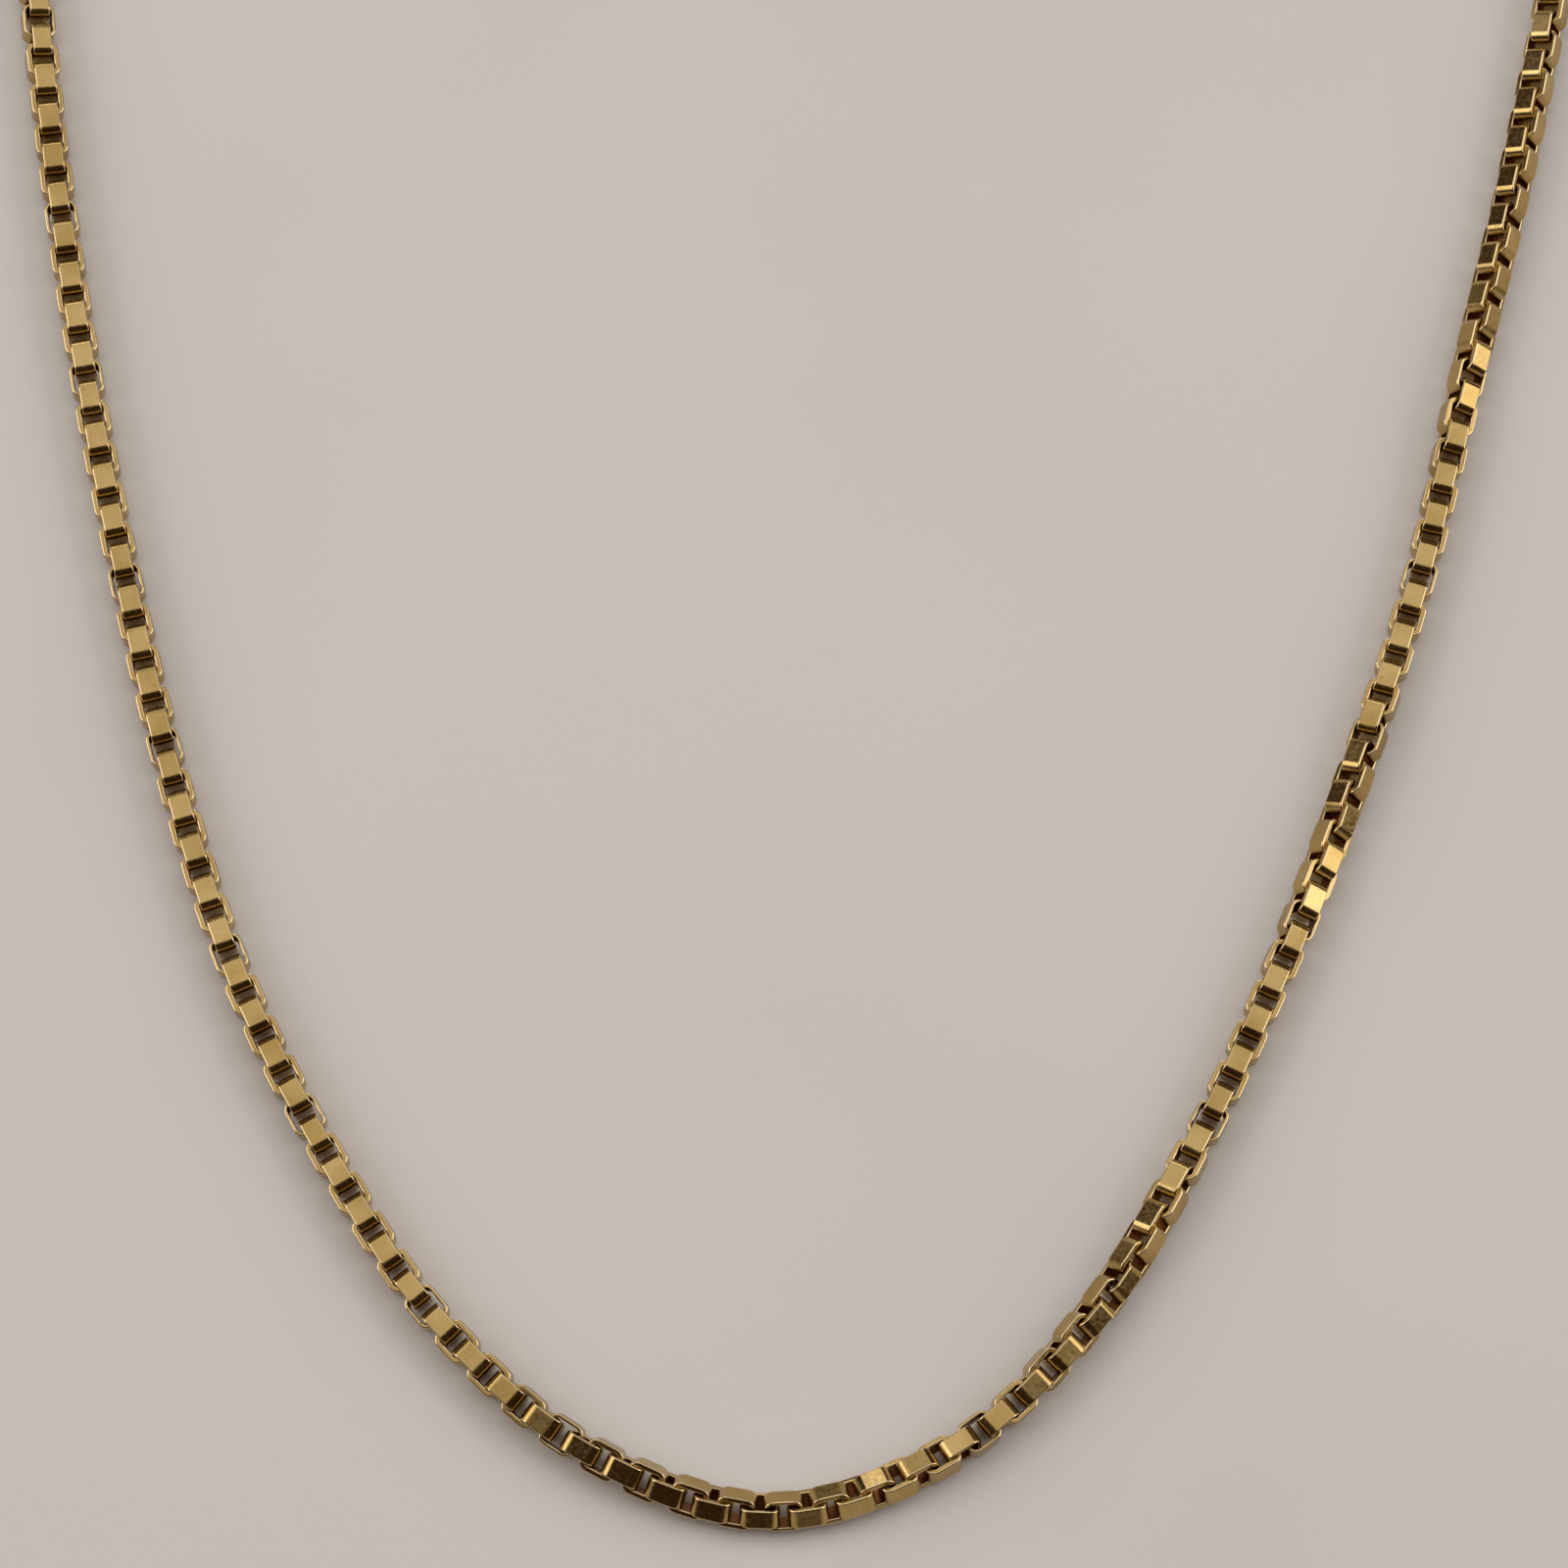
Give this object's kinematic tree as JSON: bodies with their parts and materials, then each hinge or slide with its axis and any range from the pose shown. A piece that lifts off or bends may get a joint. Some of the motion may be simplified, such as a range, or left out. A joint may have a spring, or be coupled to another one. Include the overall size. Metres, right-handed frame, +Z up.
{
  "type": "box chain necklace",
  "caption": "Gold box-chain necklace laid in an open loop, with a lobster clasp on a jump ring and a ring for it to close on.",
  "frame": {"origin": "centre of the laid necklace's box, on the surface that it lies on", "axes": "+Z up from the surface, -Y towards the front of the necklace, +X towards its ring end"},
  "size_m": [0.0838, 0.1978, 0.0033],
  "materials": {
    "chain_gold": "satin yellow gold with fine scratches",
    "clasp_gold": "polished yellow gold",
    "spring_steel": "bright drawn wire"
  },
  "bodies": {
    "chain_section_01": {"chain_section_01": "chain_gold", "end_cap_clasp_side": "chain_gold"},
    "chain_section_02": {"chain_section_02": "chain_gold"},
    "chain_section_03": {"chain_section_03": "chain_gold"},
    "chain_section_04": {"chain_section_04": "chain_gold"},
    "chain_section_05": {"chain_section_05": "chain_gold"},
    "chain_section_06": {"chain_section_06": "chain_gold"},
    "chain_section_07": {"chain_section_07": "chain_gold"},
    "chain_section_08": {"chain_section_08": "chain_gold"},
    "chain_section_09": {"chain_section_09": "chain_gold"},
    "chain_section_10": {"chain_section_10": "chain_gold"},
    "chain_section_11": {"chain_section_11": "chain_gold"},
    "chain_section_12": {"chain_section_12": "chain_gold"},
    "chain_section_13": {"chain_section_13": "chain_gold"},
    "chain_section_14": {"chain_section_14": "chain_gold"},
    "chain_section_15": {"chain_section_15": "chain_gold"},
    "chain_section_16": {"chain_section_16": "chain_gold"},
    "chain_section_17": {"chain_section_17": "chain_gold"},
    "chain_section_18": {"chain_section_18": "chain_gold"},
    "chain_section_19": {"chain_section_19": "chain_gold"},
    "chain_section_20": {"chain_section_20": "chain_gold"},
    "chain_section_21": {"chain_section_21": "chain_gold"},
    "chain_section_22": {"chain_section_22": "chain_gold"},
    "chain_section_23": {"chain_section_23": "chain_gold"},
    "chain_section_24": {"chain_section_24": "chain_gold"},
    "chain_section_25": {"chain_section_25": "chain_gold"},
    "chain_section_26": {"chain_section_26": "chain_gold"},
    "chain_section_27": {"chain_section_27": "chain_gold"},
    "chain_section_28": {"chain_section_28": "chain_gold"},
    "chain_section_29": {"chain_section_29": "chain_gold"},
    "chain_section_30": {"chain_section_30": "chain_gold"},
    "chain_section_31": {"chain_section_31": "chain_gold"},
    "chain_section_32": {"chain_section_32": "chain_gold"},
    "chain_section_33": {"chain_section_33": "chain_gold"},
    "chain_section_34": {"chain_section_34": "chain_gold"},
    "chain_section_35": {"chain_section_35": "chain_gold"},
    "chain_section_36": {"chain_section_36": "chain_gold"},
    "chain_section_37": {"chain_section_37": "chain_gold"},
    "chain_section_38": {"chain_section_38": "chain_gold"},
    "chain_section_39": {"chain_section_39": "chain_gold"},
    "chain_section_40": {"chain_section_40": "chain_gold"},
    "chain_section_41": {"chain_section_41": "chain_gold"},
    "chain_section_42": {"chain_section_42": "chain_gold"},
    "chain_section_43": {"chain_section_43": "chain_gold"},
    "chain_section_44": {"chain_section_44": "chain_gold"},
    "chain_section_45": {"chain_section_45": "chain_gold"},
    "chain_section_46": {"chain_section_46": "chain_gold"},
    "chain_section_47": {"chain_section_47": "chain_gold"},
    "chain_section_48": {"chain_section_48": "chain_gold", "end_cap_ring_side": "chain_gold"},
    "clasp_jump_ring": {"clasp_jump_ring": "clasp_gold"},
    "clasp_body": {"clasp_body": "clasp_gold", "clasp_rivet": "spring_steel", "clasp_spring": "spring_steel"},
    "clasp_lever": {"clasp_lever": "clasp_gold"},
    "end_ring": {"end_ring": "clasp_gold"}
  },
  "joints": [
    {"name": "chain_swing_24_25", "type": "hinge", "parent": "chain_section_25", "child": "chain_section_24", "pos_m": [-0.00206, -0.09801, 0.00087], "axis": [-0.0003, -0.7468, 0.6651], "range_deg": [0, 25]},
    {"name": "chain_bend_23_24", "type": "hinge", "parent": "chain_section_24", "child": "chain_section_23", "pos_m": [-0.01057, -0.095, 0.00088], "axis": [-0.4923, -0.7721, -0.4019], "range_deg": [-25, 25]},
    {"name": "chain_swing_22_23", "type": "hinge", "parent": "chain_section_23", "child": "chain_section_22", "pos_m": [-0.01718, -0.08876, 0.00081], "axis": [0.117, 0.093, -0.9888], "range_deg": [-25, 0]},
    {"name": "chain_bend_21_22", "type": "hinge", "parent": "chain_section_22", "child": "chain_section_21", "pos_m": [-0.02206, -0.08106, 0.00078], "axis": [0.8692, 0.4904, 0.0632], "range_deg": [-25, 25]},
    {"name": "chain_swing_20_21", "type": "hinge", "parent": "chain_section_21", "child": "chain_section_20", "pos_m": [-0.02603, -0.07286, 0.00077], "axis": [-0.0424, -0.0166, 0.999], "range_deg": [0, 25]},
    {"name": "chain_bend_19_20", "type": "hinge", "parent": "chain_section_20", "child": "chain_section_19", "pos_m": [-0.02887, -0.06418, 0.00076], "axis": [0.9607, 0.2763, 0.0279], "range_deg": [-25, 25]},
    {"name": "chain_swing_18_19", "type": "hinge", "parent": "chain_section_19", "child": "chain_section_18", "pos_m": [-0.03112, -0.05534, 0.00075], "axis": [0.0099, 0.0024, -0.9999], "range_deg": [-25, 0]},
    {"name": "chain_bend_17_18", "type": "hinge", "parent": "chain_section_18", "child": "chain_section_17", "pos_m": [-0.03308, -0.04643, 0.00076], "axis": [-0.9804, -0.1967, 0.0127], "range_deg": [-25, 25]},
    {"name": "chain_swing_16_17", "type": "hinge", "parent": "chain_section_17", "child": "chain_section_16", "pos_m": [-0.03472, -0.03745, 0.00077], "axis": [0.042, 0.007, 0.9991], "range_deg": [0, 25]},
    {"name": "chain_bend_15_16", "type": "hinge", "parent": "chain_section_16", "child": "chain_section_15", "pos_m": [-0.0361, -0.02843, 0.00084], "axis": [-0.958, -0.1347, 0.253], "range_deg": [-25, 25]},
    {"name": "chain_swing_14_15", "type": "hinge", "parent": "chain_section_15", "child": "chain_section_14", "pos_m": [-0.03733, -0.01939, 0.00084], "axis": [-0.2355, -0.0302, -0.9714], "range_deg": [-25, 0]},
    {"name": "chain_bend_13_14", "type": "hinge", "parent": "chain_section_14", "child": "chain_section_13", "pos_m": [-0.0384, -0.01033, 0.00075], "axis": [0.9937, 0.1118, 0], "range_deg": [-25, 25]},
    {"name": "chain_swing_12_13", "type": "hinge", "parent": "chain_section_13", "child": "chain_section_12", "pos_m": [-0.03935, -0.00125, 0.00075], "axis": [0, 0, 1], "range_deg": [0, 25]},
    {"name": "chain_bend_11_12", "type": "hinge", "parent": "chain_section_12", "child": "chain_section_11", "pos_m": [-0.04015, 0.00784, 0.00075], "axis": [0.9967, 0.0808, 0], "range_deg": [-25, 25]},
    {"name": "chain_swing_10_11", "type": "hinge", "parent": "chain_section_11", "child": "chain_section_10", "pos_m": [-0.04076, 0.01695, 0.00075], "axis": [0, 0, -1], "range_deg": [-25, 0]},
    {"name": "chain_bend_09_10", "type": "hinge", "parent": "chain_section_10", "child": "chain_section_09", "pos_m": [-0.04112, 0.02607, 0.00075], "axis": [-0.9997, -0.0249, 0], "range_deg": [-25, 25]},
    {"name": "chain_swing_08_09", "type": "hinge", "parent": "chain_section_09", "child": "chain_section_08", "pos_m": [-0.04115, 0.03519, 0.00075], "axis": [0, 0, 1], "range_deg": [0, 25]},
    {"name": "chain_bend_07_08", "type": "hinge", "parent": "chain_section_08", "child": "chain_section_07", "pos_m": [-0.04087, 0.04431, 0.00075], "axis": [-0.9985, 0.0545, 0], "range_deg": [-25, 25]},
    {"name": "chain_swing_06_07", "type": "hinge", "parent": "chain_section_07", "child": "chain_section_06", "pos_m": [-0.03996, 0.05339, 0.00075], "axis": [0, 0, -1], "range_deg": [-25, 0]},
    {"name": "chain_bend_05_06", "type": "hinge", "parent": "chain_section_06", "child": "chain_section_05", "pos_m": [-0.03822, 0.06234, 0.00075], "axis": [0.9717, -0.2363, 0], "range_deg": [-25, 25]},
    {"name": "chain_swing_04_05", "type": "hinge", "parent": "chain_section_05", "child": "chain_section_04", "pos_m": [-0.03556, 0.07107, 0.00075], "axis": [0, 0, 1], "range_deg": [0, 25]},
    {"name": "chain_bend_03_04", "type": "hinge", "parent": "chain_section_04", "child": "chain_section_03", "pos_m": [-0.03184, 0.07939, 0.00075], "axis": [0.8779, -0.4788, 0], "range_deg": [-25, 25]},
    {"name": "chain_swing_02_03", "type": "hinge", "parent": "chain_section_03", "child": "chain_section_02", "pos_m": [-0.02653, 0.08678, 0.00075], "axis": [0, 0, -1], "range_deg": [-25, 0]},
    {"name": "chain_bend_01_02", "type": "hinge", "parent": "chain_section_02", "child": "chain_section_01", "pos_m": [-0.01939, 0.09241, 0.00076], "axis": [-0.4594, 0.8882, 0], "range_deg": [-25, 25]},
    {"name": "chain_swing_25_26", "type": "hinge", "parent": "chain_section_25", "child": "chain_section_26", "pos_m": [0.0064, -0.09493, 0.00079], "axis": [0.0485, -0.069, -0.9964], "range_deg": [0, 25]},
    {"name": "chain_swing_26_27", "type": "hinge", "parent": "chain_section_26", "child": "chain_section_27", "pos_m": [0.01261, -0.0883, 0.00087], "axis": [-0.6091, 0.4356, 0.6627], "range_deg": [-25, 0]},
    {"name": "chain_bend_27_28", "type": "hinge", "parent": "chain_section_27", "child": "chain_section_28", "pos_m": [0.01721, -0.08043, 0.00076], "axis": [0.888, -0.4595, 0.0169], "range_deg": [-25, 25]},
    {"name": "chain_swing_28_29", "type": "hinge", "parent": "chain_section_28", "child": "chain_section_29", "pos_m": [0.02104, -0.07215, 0.00085], "axis": [-0.2519, 0.1075, -0.9618], "range_deg": [0, 25]},
    {"name": "chain_swing_29_30", "type": "hinge", "parent": "chain_section_29", "child": "chain_section_30", "pos_m": [0.02439, -0.06366, 0.00088], "axis": [-0.4073, 0.1505, 0.9008], "range_deg": [-25, 0]},
    {"name": "chain_bend_30_31", "type": "hinge", "parent": "chain_section_30", "child": "chain_section_31", "pos_m": [0.02731, -0.05501, 0.00075], "axis": [-0.9597, 0.2809, 0.0018], "range_deg": [-25, 25]},
    {"name": "chain_swing_31_32", "type": "hinge", "parent": "chain_section_31", "child": "chain_section_32", "pos_m": [0.02962, -0.04618, 0.00088], "axis": [-0.4319, 0.1143, -0.8946], "range_deg": [0, 25]},
    {"name": "chain_swing_32_33", "type": "hinge", "parent": "chain_section_32", "child": "chain_section_33", "pos_m": [0.03199, -0.03737, 0.00088], "axis": [-0.6153, 0.1585, 0.7722], "range_deg": [-25, 0]},
    {"name": "chain_bend_33_34", "type": "hinge", "parent": "chain_section_33", "child": "chain_section_34", "pos_m": [0.03412, -0.0285, 0.00088], "axis": [-0.864, 0.1968, -0.4635], "range_deg": [-25, 25]},
    {"name": "chain_swing_34_35", "type": "hinge", "parent": "chain_section_34", "child": "chain_section_35", "pos_m": [0.03614, -0.0196, 0.00084], "axis": [0.2283, -0.0491, -0.9723], "range_deg": [0, 25]},
    {"name": "chain_bend_35_36", "type": "hinge", "parent": "chain_section_35", "child": "chain_section_36", "pos_m": [0.03777, -0.01062, 0.00075], "axis": [0.9876, -0.157, 0], "range_deg": [-25, 25]},
    {"name": "chain_swing_36_37", "type": "hinge", "parent": "chain_section_36", "child": "chain_section_37", "pos_m": [0.03905, -0.00159, 0.00075], "axis": [0, 0, 1], "range_deg": [-25, 0]},
    {"name": "chain_bend_37_38", "type": "hinge", "parent": "chain_section_37", "child": "chain_section_38", "pos_m": [0.04002, 0.00749, 0.00075], "axis": [0.9957, -0.0927, 0], "range_deg": [-25, 25]},
    {"name": "chain_swing_38_39", "type": "hinge", "parent": "chain_section_38", "child": "chain_section_39", "pos_m": [0.04071, 0.01659, 0.00075], "axis": [0, 0, -1], "range_deg": [0, 25]},
    {"name": "chain_bend_39_40", "type": "hinge", "parent": "chain_section_39", "child": "chain_section_40", "pos_m": [0.04112, 0.0257, 0.00075], "axis": [-0.9996, 0.0277, 0], "range_deg": [-25, 25]},
    {"name": "chain_swing_40_41", "type": "hinge", "parent": "chain_section_40", "child": "chain_section_41", "pos_m": [0.04113, 0.03483, 0.00075], "axis": [0, 0, 1], "range_deg": [-25, 0]},
    {"name": "chain_bend_41_42", "type": "hinge", "parent": "chain_section_41", "child": "chain_section_42", "pos_m": [0.04068, 0.04394, 0.00075], "axis": [-0.997, -0.0771, 0], "range_deg": [-25, 25]},
    {"name": "chain_swing_42_43", "type": "hinge", "parent": "chain_section_42", "child": "chain_section_43", "pos_m": [0.03957, 0.053, 0.00075], "axis": [0, 0, -1], "range_deg": [0, 25]},
    {"name": "chain_bend_43_44", "type": "hinge", "parent": "chain_section_43", "child": "chain_section_44", "pos_m": [0.03762, 0.06191, 0.00075], "axis": [0.9659, 0.2591, 0], "range_deg": [-25, 25]},
    {"name": "chain_swing_44_45", "type": "hinge", "parent": "chain_section_44", "child": "chain_section_45", "pos_m": [0.03473, 0.07056, 0.00075], "axis": [0, 0, 1], "range_deg": [-25, 0]},
    {"name": "chain_bend_45_46", "type": "hinge", "parent": "chain_section_45", "child": "chain_section_46", "pos_m": [0.03073, 0.07876, 0.00075], "axis": [0.8651, 0.5017, 0], "range_deg": [-25, 25]},
    {"name": "chain_swing_46_47", "type": "hinge", "parent": "chain_section_46", "child": "chain_section_47", "pos_m": [0.02537, 0.08612, 0.00075], "axis": [0, 0, -1], "range_deg": [0, 25]},
    {"name": "chain_bend_47_48", "type": "hinge", "parent": "chain_section_47", "child": "chain_section_48", "pos_m": [0.01836, 0.09191, 0.00076], "axis": [-0.5061, -0.8624, 0], "range_deg": [-25, 25]},
    {"name": "jump_ring_swing", "type": "hinge", "parent": "chain_section_01", "child": "clasp_jump_ring", "pos_m": [-0.00898, 0.09533, 0.00095], "axis": [0, 0, 1], "range_deg": [-50, 50]},
    {"name": "clasp_swing", "type": "hinge", "parent": "clasp_jump_ring", "child": "clasp_body", "pos_m": [-0.00651, 0.09573, 0.00095], "axis": [0, 0, 1], "range_deg": [-50, 50]},
    {"name": "clasp_lever_press", "type": "hinge", "parent": "clasp_body", "child": "clasp_lever", "pos_m": [-0.00393, 0.0954, 0.00095], "axis": [0, 0, 1], "range_deg": [0, 25], "stiffness_Nm_per_rad": 0.0002, "springref_deg": -5.73},
    {"name": "end_ring_lift", "type": "hinge", "parent": "chain_section_48", "child": "end_ring", "pos_m": [0.00831, 0.09514, 0.00095], "axis": [0.1944, 0.9809, 0], "range_deg": [0, 110]}
  ]
}
